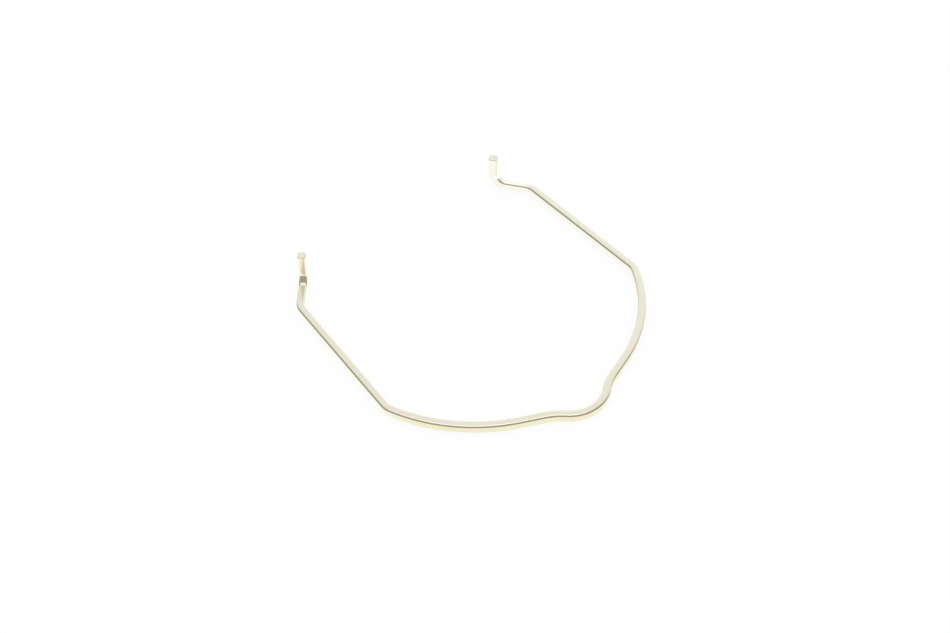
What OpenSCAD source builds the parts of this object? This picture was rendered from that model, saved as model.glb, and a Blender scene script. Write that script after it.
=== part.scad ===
// Spring clip of square wire for a plug-in hose coupling. The ring lies flat, with its
// release bump at the front, its mouth at the back and both legs standing up. The origin
// is the centre of the ring, level with its underside.

/* [Wire] */
// Width of the square spring wire across its flats
wire_side = 2.2; // [1.6:0.1:2.8]
// Rounding of the wire's four long edges
edge_radius = 0.55; // [0.1:0.05:0.7]
// Break round each cut end of the wire
end_break = 0.1; // [0.05:0.05:0.35]

/* [Ring] */
// Inside radius of the ring, which seats in the groove of the coupling
seat_radius = 40; // [38.5:0.5:48]
// Inside radius of the corner where the ring becomes a shoulder
ring_corner_radius = 3.3; // [1.5:0.1:8]

/* [Release bump] */
// Height of the bump that a screwdriver lifts, over the ring
bump_height = 4.1; // [2.5:0.1:6]
// Inside radius of the bump's crown
bump_radius = 8.2; // [5:0.1:12]
// Radius on the hollow side of the curve between the bump and each flank
blend_radius = 15; // [5:0.5:25]
// Length of the straight flank between that curve and the ring
flank_length = 6; // [1:0.1:8]

/* [Shoulders] */
// Gap between the two shoulders, across the centre of the ring
shoulder_gap = 71.8; // [60:0.2:75]
// Lean of each shoulder towards the other, in degrees
shoulder_lean = 2.7; // [0:0.1:6]
// Distance of the shoulders' far corners behind the centre of the ring
shoulder_reach = 22.9; // [14:0.1:30]

/* [Ends] */
// Turn of each end across the mouth, in degrees
end_turn = 36.5; // [15:0.5:60]
// Inside radius of the corner between shoulder and end
end_corner_radius = 3.6; // [1:0.1:7]
// Length of each end, from its corner to the axis of its leg
end_length = 9.9; // [8.5:0.1:20]

/* [Legs] */
// Height of the legs' tops over the underside of the ring
leg_height = 9.6; // [8:0.1:20]
// Inside radius of the bend that stands each leg up
leg_bend_radius = 2.4; // [1:0.1:4]

/* [Hidden] */
$fa = 3;
$fs = 0.2;

// Radii of the wire's centreline
half_wire = wire_side / 2;
ring_line = seat_radius + half_wire;
ring_corner_line = ring_corner_radius + half_wire;
bump_line = bump_radius + half_wire;
blend_line = blend_radius + half_wire;
end_corner_line = end_corner_radius + half_wire;
leg_line = leg_bend_radius + half_wire;
shoulder_line = (shoulder_gap / 2) * cos(shoulder_lean) + half_wire;

// Distances of the crown's and the blend's centres from the ring's, the angle between the
// two as the ring's centre sees them, and the headings where the crown and the blend end
crown_centre = ring_line + bump_height - bump_line;
blend_centre = norm([ring_line + blend_line, flank_length]);
blend_place = acos((crown_centre ^ 2 + blend_centre ^ 2 - (bump_line + blend_line) ^ 2)
                   / (2 * crown_centre * blend_centre));
crown_turn = atan2(blend_centre * sin(blend_place),
                   blend_centre * cos(blend_place) - crown_centre);
flank_heading = blend_place + atan(flank_length / (ring_line + blend_line));

// The corner's circle lies inside the ring's circle and touches it and the shoulder
corner_turn = acos((shoulder_line - ring_corner_line) / (ring_line - ring_corner_line));
ring_turn = 90 + shoulder_lean - corner_turn - flank_heading;
corner_offset = (ring_line - ring_corner_line) * sin(corner_turn);
shoulder_top = (shoulder_reach - shoulder_line * sin(shoulder_lean)) / cos(shoulder_lean);
end_corner_cut = end_corner_line * tan(end_turn / 2);

// Half of the wire as a bender makes it, from the middle of the bump to the foot of the
// leg: [feed] runs straight, and [radius, turn] bends the centreline, left if positive
half_wire_bends = [
    [bump_line, crown_turn],
    [blend_line, flank_heading - crown_turn],
    [flank_length],
    [ring_line, ring_turn],
    [ring_corner_line, corner_turn],
    [shoulder_top + corner_offset - end_corner_cut],
    [end_corner_line, end_turn],
    [end_length - end_corner_cut - leg_line],
];

// Six figures of a number, or of each number in a list
function figures(x) =
    is_list(x) ? [for (v = x) figures(v)]
    : x == 0 ? 0
    : let (unit = 10 ^ (floor(log(abs(x))) - 5)) round(x / unit) * unit;

// Cosine and sine, of six figures each, of a turn very close to a. Of all such pairs these
// have squares that add up to one most nearly, so that the turn changes no size.
function close_turn(a) =
    let (pairs = [for (i = [-12:12], j = [-12:12]) figures([cos(a), sin(a)]) + [i, j] / 1e6],
         errors = [for (pair = pairs) abs(norm(pair) - 1)])
    pairs[search(min(errors), errors)[0]];

// Both of these go in two steps, the second for what six figures leave over, so that
// each stretch of wire meets the next one face to face
module shifted(v) translate(figures(v)) translate(v - figures(v)) children();
module turned(a) {
    near = close_turn(a);
    multmatrix([[near.x, -near.y, 0, 0], [near.y, near.x, 0, 0], [0, 0, 1, 0], [0, 0, 0, 1]])
        rotate(a - atan2(near.y, near.x)) children();
}

// Square with rounded corners
module wire_section() {
    flat = wire_side - 2 * edge_radius;
    square([wire_side, flat], center = true);
    square([flat, wire_side], center = true);
    for (x = [-1, 1], y = [-1, 1]) translate([x, y] * flat / 2) circle(edge_radius);
}

// Every stretch starts at the origin and sets off along +X
module straight_wire(length) rotate([90, 0, 90]) linear_extrude(length) wire_section();

module bent_wire(radius, turn)
    mirror([0, turn < 0 ? 1 : 0, 0])
        translate([0, radius, 0]) rotate(-90)
            rotate_extrude(angle = abs(turn)) translate([radius, 0]) wire_section();

module at_end_of(bend) {
    radius = bend[0];
    turn = bend[1];
    if (len(bend) == 1) translate([bend[0], 0, 0]) children();
    else shifted([radius * sin(abs(turn)), sign(turn) * radius * (1 - cos(turn)), 0])
        turned(turn) children();
}

// Lays the bends of a list one after another, and its children at the end of the last
module wire_path(bends, i = 0) {
    if (i == len(bends)) children();
    else {
        if (len(bends[i]) == 1) straight_wire(bends[i][0]);
        else bent_wire(bends[i][0], bends[i][1]);
        at_end_of(bends[i]) wire_path(bends, i + 1) children();
    }
}

// The last straight stretch, with the edges of its cut face broken
module cut_wire(length) {
    slope = wire_side - half_wire + end_break;
    intersection() {
        straight_wire(length);
        intersection_for (side = [0, 90]) rotate([side, 0, 0])
            linear_extrude(2 * wire_side, center = true) polygon([
                [-half_wire, -wire_side], [length - slope, -wire_side],
                [length, end_break - half_wire], [length, half_wire - end_break],
                [length - slope, wire_side], [-half_wire, wire_side],
            ]);
    }
}

// The leg bends up out of the plane of the ring
module leg() {
    rotate([90, 0, 0]) bent_wire(leg_line, 90);
    translate([leg_line, 0, leg_line]) rotate([0, -90, 0])
        cut_wire(leg_height - half_wire - leg_line);
}

module half_clip()
    translate([0, -ring_line - bump_height, half_wire]) wire_path(figures(half_wire_bends)) leg();

module spring_clip() color([0.87, 0.86, 0.76]) {
    half_clip();
    mirror([1, 0, 0]) half_clip();
}

spring_clip();
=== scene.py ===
import math
import bpy
import bmesh
from mathutils import Matrix, Vector


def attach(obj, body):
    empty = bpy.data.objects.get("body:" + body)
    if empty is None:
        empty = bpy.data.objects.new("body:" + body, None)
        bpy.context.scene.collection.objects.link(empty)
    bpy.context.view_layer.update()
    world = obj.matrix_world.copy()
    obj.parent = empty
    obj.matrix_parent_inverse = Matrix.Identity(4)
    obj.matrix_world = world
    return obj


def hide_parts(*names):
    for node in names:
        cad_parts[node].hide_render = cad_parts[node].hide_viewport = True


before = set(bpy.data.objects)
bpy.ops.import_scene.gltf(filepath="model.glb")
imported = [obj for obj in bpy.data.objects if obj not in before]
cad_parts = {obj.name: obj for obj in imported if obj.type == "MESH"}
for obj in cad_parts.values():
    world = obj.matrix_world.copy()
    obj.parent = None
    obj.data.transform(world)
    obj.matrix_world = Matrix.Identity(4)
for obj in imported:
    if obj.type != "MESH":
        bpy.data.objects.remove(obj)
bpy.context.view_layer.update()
mm = 0.001
up = Vector((0, 0, 1))
white = (1, 1, 1, 1)


# the wire and its bends, in millimetres and degrees
clipSizes = {
    "wireSide": 2.2,
    "edgeRadius": 0.55,
    "seatRadius": 40.0,
    "ringCornerRadius": 3.3,
    "bumpHeight": 4.1,
    "bumpRadius": 8.2,
    "blendRadius": 15.0,
    "flankLength": 6.0,
    "shoulderGap": 71.8,
    "shoulderLean": 2.7,
    "shoulderReach": 22.9,
    "endTurn": 36.5,
    "endCornerRadius": 3.6,
    "endLength": 9.9,
    "legHeight": 9.6,
    "legBendRadius": 2.4,
    "cutRounding": 0.18,       # rounding round the cut face of each leg
    "cutRim": 0.12,            # width of the rolled rim that the shear leaves on it
    "cutDish": 0.03,           # how far the middle of the cut face lies below that rim
    "cutSegments": 4,          # facets across the rounding of the cut face
    "edgeSegments": 8,         # facets across each rounded edge of the wire
    "stepAngle": 1.5,          # turn between two rings of a bend
    "mirrorMerge": 0.001,      # points of the two halves that are closer than this become one
    "doublesMerge": 0.0001,    # and so do any others that are closer than this
    "smoothAngle": 40,         # faces that meet at less than this are shaded as one surface
}


def findBends(s):
    # half of the wire from the middle of the bump: [feed] runs straight, [radius, turn]
    # bends the centreline, to the left if the turn is positive
    half = s["wireSide"] / 2
    ringLine = s["seatRadius"] + half
    cornerLine = s["ringCornerRadius"] + half
    bumpLine = s["bumpRadius"] + half
    blendLine = s["blendRadius"] + half
    endLine = s["endCornerRadius"] + half
    legLine = s["legBendRadius"] + half
    lean = math.radians(s["shoulderLean"])
    shoulderLine = s["shoulderGap"] / 2 * math.cos(lean) + half
    crownCentre = ringLine + s["bumpHeight"] - bumpLine
    blendCentre = math.hypot(ringLine + blendLine, s["flankLength"])
    blendPlace = math.acos((crownCentre ** 2 + blendCentre ** 2 - (bumpLine + blendLine) ** 2)
                           / (2 * crownCentre * blendCentre))
    crownTurn = math.atan2(blendCentre * math.sin(blendPlace),
                           blendCentre * math.cos(blendPlace) - crownCentre)
    flankHeading = blendPlace + math.atan(s["flankLength"] / (ringLine + blendLine))
    cornerTurn = math.acos((shoulderLine - cornerLine) / (ringLine - cornerLine))
    ringTurn = math.pi / 2 + lean - cornerTurn - flankHeading
    cornerOffset = (ringLine - cornerLine) * math.sin(cornerTurn)
    shoulderTop = (s["shoulderReach"] - shoulderLine * math.sin(lean)) / math.cos(lean)
    endTurn = math.radians(s["endTurn"])
    endCut = endLine * math.tan(endTurn / 2)
    return [
        [bumpLine, crownTurn],
        [blendLine, flankHeading - crownTurn],
        [s["flankLength"]],
        [ringLine, ringTurn],
        [cornerLine, cornerTurn],
        [shoulderTop + cornerOffset - endCut],
        [endLine, endTurn],
        [s["endLength"] - endCut - legLine],
    ]


def layStretches(s):
    # each stretch of the wire with its start, heading, side towards its centre and length;
    # its station is the wire's length from the middle of the bump to its start
    half = s["wireSide"] / 2
    place = Vector((0, -s["seatRadius"] - half - s["bumpHeight"], half))
    heading = Vector((1, 0, 0))
    station = 0
    stretches = []
    for bend in findBends(s):
        if len(bend) == 1:
            stretches.append({"place": place, "heading": heading, "feed": bend[0],
                              "station": station})
            place = place + heading * bend[0]
            station += bend[0]
            continue
        radius, turn = bend
        inward = up.cross(heading) * (1 if turn > 0 else -1)
        stretches.append({"place": place, "heading": heading, "inward": inward, "radius": radius,
                          "turn": abs(turn), "station": station})
        rotation = Matrix.Rotation(turn, 3, "Z")
        centre = place + inward * radius
        place = centre + rotation @ (place - centre)
        heading = rotation @ heading
        station += radius * abs(turn)
    legLine = s["legBendRadius"] + half
    stretches.append({"place": place, "heading": heading, "inward": up, "radius": legLine,
                      "turn": math.pi / 2, "station": station})
    place = place + heading * legLine + up * legLine
    station += legLine * math.pi / 2
    stretches.append({"place": place, "heading": up, "feed": s["legHeight"] - place.z,
                      "station": station})
    return stretches


def bendWire(s, stretches):
    # the wire's end face starts in the middle of the bump and is spun and pulled along
    bpy.ops.object.select_all(action="DESELECT")
    bpy.ops.mesh.primitive_plane_add(size=s["wireSide"] * mm, location=stretches[0]["place"] * mm,
                                     rotation=(0, math.pi / 2, 0))
    wire = bpy.context.object
    wire.name = wire.data.name = "springWire"
    bpy.ops.object.transform_apply(location=True, rotation=True, scale=True)
    bpy.ops.object.mode_set(mode="EDIT")
    bpy.ops.mesh.select_all(action="SELECT")
    bpy.ops.mesh.bevel(offset=s["edgeRadius"] * mm, segments=s["edgeSegments"], affect="VERTICES")
    bpy.ops.mesh.select_all(action="SELECT")
    for stretch in stretches[:-1]:
        if "feed" in stretch:
            pullFace(stretch["heading"] * stretch["feed"])
        else:
            axis = stretch["heading"].cross(stretch["inward"])
            centre = stretch["place"] + stretch["inward"] * stretch["radius"]
            steps = math.ceil(math.degrees(stretch["turn"]) / s["stepAngle"])
            bpy.ops.mesh.spin(steps=steps, angle=-stretch["turn"], center=centre * mm, axis=axis)
    pullFace(up * (stretches[-1]["feed"] - s["cutRounding"]))
    finishCut(s)
    dropInnerFaces(wire)
    bpy.ops.object.mode_set(mode="OBJECT")
    return wire


def pullFace(way):
    bpy.ops.mesh.extrude_region_move(TRANSFORM_OT_translate={"value": way * mm})


def finishCut(s):
    # rounds the cut face's edge, then sinks its middle a little
    before = 0
    for i in range(1, s["cutSegments"] + 1):
        angle = math.radians(90 * i / s["cutSegments"])
        bpy.ops.mesh.inset(thickness=s["cutRounding"] * (math.cos(before) - math.cos(angle)) * mm,
                           depth=s["cutRounding"] * (math.sin(angle) - math.sin(before)) * mm)
        before = angle
    bpy.ops.mesh.inset(thickness=s["cutRim"] * mm, depth=0)
    bpy.ops.mesh.inset(thickness=s["cutRim"] * mm, depth=-s["cutDish"] * mm)


def dropInnerFaces(wire):
    # only faces that lie across the wire have more than four corners: the start face and
    # those that the spins left inside, which are taken out, and the cut face, still selected
    shape = bmesh.from_edit_mesh(wire.data)
    for face in shape.faces:
        face.select = len(face.verts) > 4 and not face.select
    bmesh.update_edit_mesh(wire.data)
    bpy.ops.mesh.select_mode(type="FACE")
    bpy.ops.mesh.delete(type="ONLY_FACE")


def mirrorWire(wire, s):
    bpy.context.view_layer.objects.active = wire
    mirror = wire.modifiers.new("otherHalf", "MIRROR")
    mirror.use_clip = True
    mirror.merge_threshold = s["mirrorMerge"] * mm
    bpy.ops.object.modifier_apply(modifier=mirror.name)
    bpy.ops.object.mode_set(mode="EDIT")
    bpy.ops.mesh.select_all(action="SELECT")
    bpy.ops.mesh.remove_doubles(threshold=s["doublesMerge"] * mm)
    bpy.ops.mesh.normals_make_consistent(inside=False)
    bpy.ops.object.mode_set(mode="OBJECT")
    bpy.ops.object.shade_smooth_by_angle(angle=math.radians(s["smoothAngle"]))
    weights = wire.modifiers.new("evenShading", "WEIGHTED_NORMAL")
    weights.keep_sharp = True
    bpy.ops.object.modifier_apply(modifier=weights.name)


def placeOnRun(point, run, beforeLeg):
    # a point's place along a straight run, how far outside the run that is, and its place
    # across and up; beforeLeg is the heading of the wire where the leg bends up
    offset = point - run["place"]
    along = offset.dot(run["heading"])
    missed = max(-along, along - run["feed"], 0)
    if run["heading"] == up:
        return along, missed, -offset.dot(beforeLeg.cross(up)), -offset.dot(beforeLeg)
    return along, missed, -offset.dot(run["heading"].cross(up)), offset.z


def placeOnBend(point, bend):
    # the same for a bend
    heading, inward, radius = bend["heading"], bend["inward"], bend["radius"]
    offset = point - bend["place"] - inward * radius
    along = radius * math.atan2(offset.dot(heading), -offset.dot(inward))
    missed = max(-along, along - bend["turn"] * radius, 0)
    nearer = radius - math.hypot(offset.dot(heading), offset.dot(inward))
    side = heading.cross(inward)
    if inward == up:
        return along, missed, -offset.dot(side), nearer
    return along, missed, nearer * (1 if side.z > 0 else -1), offset.z


def straightPlace(point, stretches, reach):
    # where a point of the bent wire lay on the straight wire: along it, across it, up;
    # a stretch whose centreline is further off than reach isn't the point's own
    mirrored = -1 if point.x < 0 else 1
    point = Vector((abs(point.x), point.y, point.z))
    best = None
    for stretch in stretches:
        if "feed" in stretch:
            along, missed, across, rise = placeOnRun(point, stretch, stretches[-2]["heading"])
        else:
            along, missed, across, rise = placeOnBend(point, stretch)
        if abs(across) > reach or abs(rise) > reach:
            continue
        if best is None or missed < best[0]:
            best = (missed, (stretch["station"] + along) * mirrored, across * mirrored, rise)
    return Vector(best[1:])


def markStraightPlaces(wire, s, stretches):
    marks = wire.data.attributes.new("straightPlace", "FLOAT_VECTOR", "POINT")
    for vertex, mark in zip(wire.data.vertices, marks.data):
        mark.vector = straightPlace(vertex.co / mm, stretches, s["wireSide"])


stretches = layStretches(clipSizes)
springWire = bendWire(clipSizes, stretches)
mirrorWire(springWire, clipSizes)
markStraightPlaces(springWire, clipSizes, stretches)
wireLength = stretches[-1]["station"] + stretches[-1]["feed"]     # of half of the clip
print("wire bent:", len(springWire.data.polygons), "faces,", round(2 * wireLength, 1), "mm long")


# its drawn steel, with places in millimetres on the straight wire
steelLook = {
    # tints of the flats, then of the ring's sides, where they are a painted reflection of the white
    # table, both in patches: the value of the patches' noise at which each tint is reached, and its
    # colour
    "flatTints": [(0.38, (0.775, 0.78, 0.65, 1)), (0.62, (0.81, 0.765, 0.685, 1))],
    "ringSideReflectionTints": [(0.42, (0.77, 0.7, 0.54, 1)), (0.56, (0.735, 0.715, 0.515, 1))],
    # painted reflection of the white table, paler than the flats
    "paleSideReflection": (0.8, 0.79, 0.7, 1),      # the sides of the shoulders, ends and legs
    "warmReach": (42, 52),        # where the ring's side tints end and the pale one is full
    "sideReach": (0.95, 1.09),    # where the side tints set in and are full, across the wire
    # painted light and shade on the upper flat near the left (-1) and right (1) cut face, each laid
    # over the one before: where it sets in and is full, back from the cut, and its colour
    "paintedEndLightAndShade": [
        # a warm painted reflection at the left end
        (-1, 8.5, 6.0, (0.84, 0.765, 0.6, 1)),
        # a pale painted reflection of the bright sweep near the right end
        (1, 18.5, 15.5, (0.91, 0.895, 0.85, 1)),
        # painted shade on the right leg's inner face near its cut
        (1, 6.5, 4.0, (0.74, 0.74, 0.63, 1)),
    ],
    "tintPatches": (0.055, 0.2, 0.2),     # patches for each millimetre along, across and up
    "tintGrain": (2.0, 0.5),      # detail and roughness of their noise
    "drawLines": (0.1, 8.0, 8.0),         # drawn lines for each millimetre, in the same way
    "drawGrain": (3.0, 0.6),
    "drawDepth": 0.001,           # their depth
    "roughness": 0.2,
    "cutRoughness": 0.3,
    "cutGrey": (0.76, 0.755, 0.645, 1),
    "cutStart": 0.03,             # the sheared grey starts this far below the cut face
}


def clearTree(owner):
    owner.use_nodes = True
    owner.node_tree.nodes.clear()
    return owner.node_tree


def feed(tree, socket, value):
    # the value is another node's output, or else a number, a vector or a colour
    if isinstance(value, bpy.types.NodeSocket):
        tree.links.new(value, socket)
    else:
        socket.default_value = value


def addNode(tree, kind, **values):
    # each value is a property of the node or one of its inputs, with _ for a space
    node = tree.nodes.new("ShaderNode" + kind)
    for name, value in values.items():
        if hasattr(node, name):
            setattr(node, name, value)
        else:
            feed(tree, node.inputs[name.replace("_", " ")], value)
    return node


def addStep(tree, kind, operation, *values):
    # a node of arithmetic, with its values in the order of its inputs
    step = addNode(tree, kind, operation=operation)
    for socket, value in zip(step.inputs, values):
        feed(tree, socket, value)
    return step.outputs


def calculate(tree, operation, *values):
    return addStep(tree, "Math", operation, *values)["Value"]


def smoothShare(tree, value, start, full):
    # 0 at start, 1 at full and smooth between the two; full may be the lower one
    share = addNode(tree, "MapRange", interpolation_type="SMOOTHSTEP", Value=value,
                    From_Min=start, From_Max=full)
    return share.outputs["Result"]


def colourRamp(tree, value, stops):
    # each stop is a value and the colour that it gives, lowest value first
    ramp = addNode(tree, "ValToRGB", Fac=value)
    elements = ramp.color_ramp.elements
    while len(elements) < len(stops):
        elements.new(1.0)
    for element, (position, colour) in zip(elements, stops):
        element.position = position
        element.color = colour
    return ramp.outputs["Color"]


def mixColours(tree, share, first, second):
    # a mix's inputs 6 and 7 and its output 2 are those for colours
    mix = addNode(tree, "Mix", data_type="RGBA", Factor=share)
    feed(tree, mix.inputs[6], first)
    feed(tree, mix.inputs[7], second)
    return mix.outputs[2]


def mixShaders(tree, share, first, second):
    # the two shaders are given as nodes
    mix = addNode(tree, "MixShader", Fac=share)
    feed(tree, mix.inputs[1], first.outputs[0])
    feed(tree, mix.inputs[2], second.outputs[0])
    return mix.outputs[0]


def wireNoise(tree, place, scales, grain):
    scaled = addStep(tree, "VectorMath", "MULTIPLY", place, scales)["Vector"]
    detail, roughness = grain
    noise = addNode(tree, "TexNoise", Vector=scaled, Scale=1.0, Detail=detail, Roughness=roughness)
    return noise.outputs["Fac"]


def paintSteel(look, wireLength):
    steel = bpy.data.materials.new("drawnSteel")
    tree = clearTree(steel)
    place = addNode(tree, "Attribute", attribute_name="straightPlace").outputs["Vector"]
    parts = addNode(tree, "SeparateXYZ", Vector=place).outputs
    distance = calculate(tree, "ABSOLUTE", parts["X"])
    sideways = calculate(tree, "ABSOLUTE", parts["Y"])
    onTop = calculate(tree, "GREATER_THAN", parts["Z"], 0)
    patches = wireNoise(tree, place, look["tintPatches"], look["tintGrain"])

    flatTintAndEndLight = colourRamp(tree, patches, look["flatTints"])
    # painted light and shade near the cut faces, laid over the flats' own tints: a warm reflection
    # at the left end, a pale reflection near the right end and shade on the right leg near its cut
    for end, start, full, tint in look["paintedEndLightAndShade"]:
        endLightShare = smoothShare(tree, parts["X"], end * (wireLength - start), end * (wireLength - full))
        flatTintAndEndLight = mixColours(tree, calculate(tree, "MULTIPLY", onTop, endLightShare), flatTintAndEndLight, tint)

    # painted reflection of the white table on the sides: those of the ring a little warmer than its
    # flats, those further out paler
    ringSideReflection = colourRamp(tree, patches, look["ringSideReflectionTints"])
    ringEnd, paleFull = look["warmReach"]
    onRing = smoothShare(tree, distance, paleFull, ringEnd)
    sideReflectionTint = mixColours(tree, onRing, look["paleSideReflection"], ringSideReflection)
    onSide = smoothShare(tree, sideways, *look["sideReach"])
    drawnTintAndPaintedLight = mixColours(tree, onSide, flatTintAndEndLight, sideReflectionTint)

    # the sheared ends are greyer and duller
    onCut = calculate(tree, "GREATER_THAN", distance, wireLength - look["cutStart"])
    tint = mixColours(tree, onCut, drawnTintAndPaintedLight, look["cutGrey"])
    dullness = addNode(tree, "MapRange", Value=onCut, To_Min=look["roughness"],
                       To_Max=look["cutRoughness"])

    lines = wireNoise(tree, place, look["drawLines"], look["drawGrain"])
    bump = addNode(tree, "Bump", Strength=1.0, Distance=look["drawDepth"] * mm, Height=lines)
    metal = addNode(tree, "BsdfPrincipled", Metallic=1.0, Base_Color=tint,
                    Roughness=dullness.outputs["Result"], Normal=bump.outputs["Normal"])
    addNode(tree, "OutputMaterial", Surface=metal.outputs["BSDF"])
    return steel


springWire.data.materials.clear()
springWire.data.materials.append(paintSteel(steelLook, wireLength))
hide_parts("spring_clip")
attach(springWire, "root")
print("steel painted")


# table, room and lamps, with lengths in metres, angles in degrees and power in watts
studio = {
    "tableSize": 4.0,
    "tableDrop": 0.00002,          # how far the table lies under the wire
    "tableColour": (0.9, 0.9, 0.9, 1),
    "tableGlow": 0.9,              # share of plain white in what is seen of the table
    "tableMirrored": 1.24,         # brightness of the table in the metal
    "roomLight": 1.0,              # the room's own light on things
    "darkSide": (0.35, 0.325, 0.265, 1),     # the room round and behind the camera
    "sweepPlace": (135, 12),       # azimuth and elevation of the middle of the white sweep
    "sweepGlow": 1.21,             # its brightness there, in the metal
    "sweepFade": [(18, 1.0), (35, 0.765), (50, 0.535), (64, 0.0)],   # share of it at these angles
    "twiceMirrored": 0.62,         # what two faces of the wire pass on between them
    "boxSize": 0.62,               # the round softbox over the table
    "boxHeight": 0.9,
    "boxLean": 9,
    "boxPower": 0.95,
}

# the photo's camera: the sensor is in millimetres, the rest in metres and degrees
view = {
    "target": Vector((-3.037, -4.357, 0)) * mm,
    "azimuth": -37.41,
    "elevation": 46.61,
    "distance": 403.8 * mm,
    "focalPixels": 1655.6,
    "pixelsAcross": 950,
    "sensorWidth": 36,
    "clipStart": 0.01,
    "clipEnd": 20,
}


def lookBack(azimuth, elevation):
    a, e = math.radians(azimuth), math.radians(elevation)
    return Vector((math.sin(a) * math.cos(e), -math.cos(a) * math.cos(e), math.sin(e)))


def setCamera(v):
    back = lookBack(v["azimuth"], v["elevation"])
    bpy.ops.object.camera_add(location=v["target"] + back * v["distance"],
                              rotation=back.to_track_quat("Z", "Y").to_euler())
    camera = bpy.context.object
    camera.data.sensor_width = v["sensorWidth"]
    camera.data.lens = v["focalPixels"] * v["sensorWidth"] / v["pixelsAcross"]
    camera.data.clip_start = v["clipStart"]
    camera.data.clip_end = v["clipEnd"]
    bpy.context.scene.camera = camera


def seenRays(tree):
    # 1 for a ray that shows what it meets, and 0 for one that gathers light
    rays = addNode(tree, "LightPath").outputs
    direct = calculate(tree, "MAXIMUM", rays["Is Camera Ray"], rays["Is Glossy Ray"])
    return calculate(tree, "MAXIMUM", direct, rays["Is Transmission Ray"]), rays


def layTable(st):
    bpy.ops.mesh.primitive_plane_add(size=st["tableSize"], location=(0, 0, -st["tableDrop"]))
    table = bpy.context.object
    table.name = "whiteTable"
    surface = bpy.data.materials.new("tableWhite")
    tree = clearTree(surface)
    seen, rays = seenRays(tree)
    # white to the camera, a little more in the metal
    level = addNode(tree, "MapRange", Value=rays["Is Glossy Ray"], To_Min=1.0,
                    To_Max=st["tableMirrored"])
    glow = addNode(tree, "Emission", Color=white, Strength=level.outputs["Result"])
    lit = addNode(tree, "BsdfDiffuse", Color=st["tableColour"])
    share = calculate(tree, "MULTIPLY", seen, st["tableGlow"])
    addNode(tree, "OutputMaterial", Surface=mixShaders(tree, share, lit, glow))
    table.data.materials.append(surface)


def paintRoom(st):
    room = bpy.data.worlds.new("whiteSweep")
    bpy.context.scene.world = room
    tree = clearTree(room)
    seen, rays = seenRays(tree)
    facing = addNode(tree, "TexCoord").outputs["Generated"]
    sweep = lookBack(*st["sweepPlace"])
    towards = addStep(tree, "VectorMath", "DOT_PRODUCT", facing, sweep)["Value"]
    halfTurns = calculate(tree, "DIVIDE", calculate(tree, "ARCCOSINE", towards), math.pi)
    fade = colourRamp(tree, halfTurns, [(degrees / 180, (share, share, share, 1))
                                        for degrees, share in st["sweepFade"]])
    # a glossy depth of two or more: the ray has met two faces of the wire
    twice = calculate(tree, "GREATER_THAN", rays["Glossy Depth"], 1.5)
    passedOn = calculate(tree, "MULTIPLY", twice, st["twiceMirrored"])
    whiteness = calculate(tree, "MAXIMUM", fade, passedOn)
    walls = mixColours(tree, whiteness, st["darkSide"], white)
    # the camera itself sees plain white
    plain = (1 / st["sweepGlow"],) * 3 + (1,)
    colour = mixColours(tree, rays["Is Camera Ray"], walls, plain)
    shown = addNode(tree, "Background", Color=colour, Strength=st["sweepGlow"])
    light = addNode(tree, "Background", Color=white, Strength=st["roomLight"])
    addNode(tree, "OutputWorld", Surface=mixShaders(tree, seen, light, shown))


def hangSoftbox(st, v):
    away = lookBack(v["azimuth"] + 180, 90 - st["boxLean"])
    bpy.ops.object.light_add(type="AREA", location=away * st["boxHeight"],
                             rotation=away.to_track_quat("Z", "Y").to_euler())
    softbox = bpy.context.object
    softbox.name = "softbox"
    softbox.data.shape = "DISK"
    softbox.data.size = st["boxSize"]
    softbox.data.energy = st["boxPower"]


setCamera(view)
layTable(studio)
paintRoom(studio)
hangSoftbox(studio, view)
bpy.context.scene.view_settings.view_transform = "Standard"
print("studio ready")
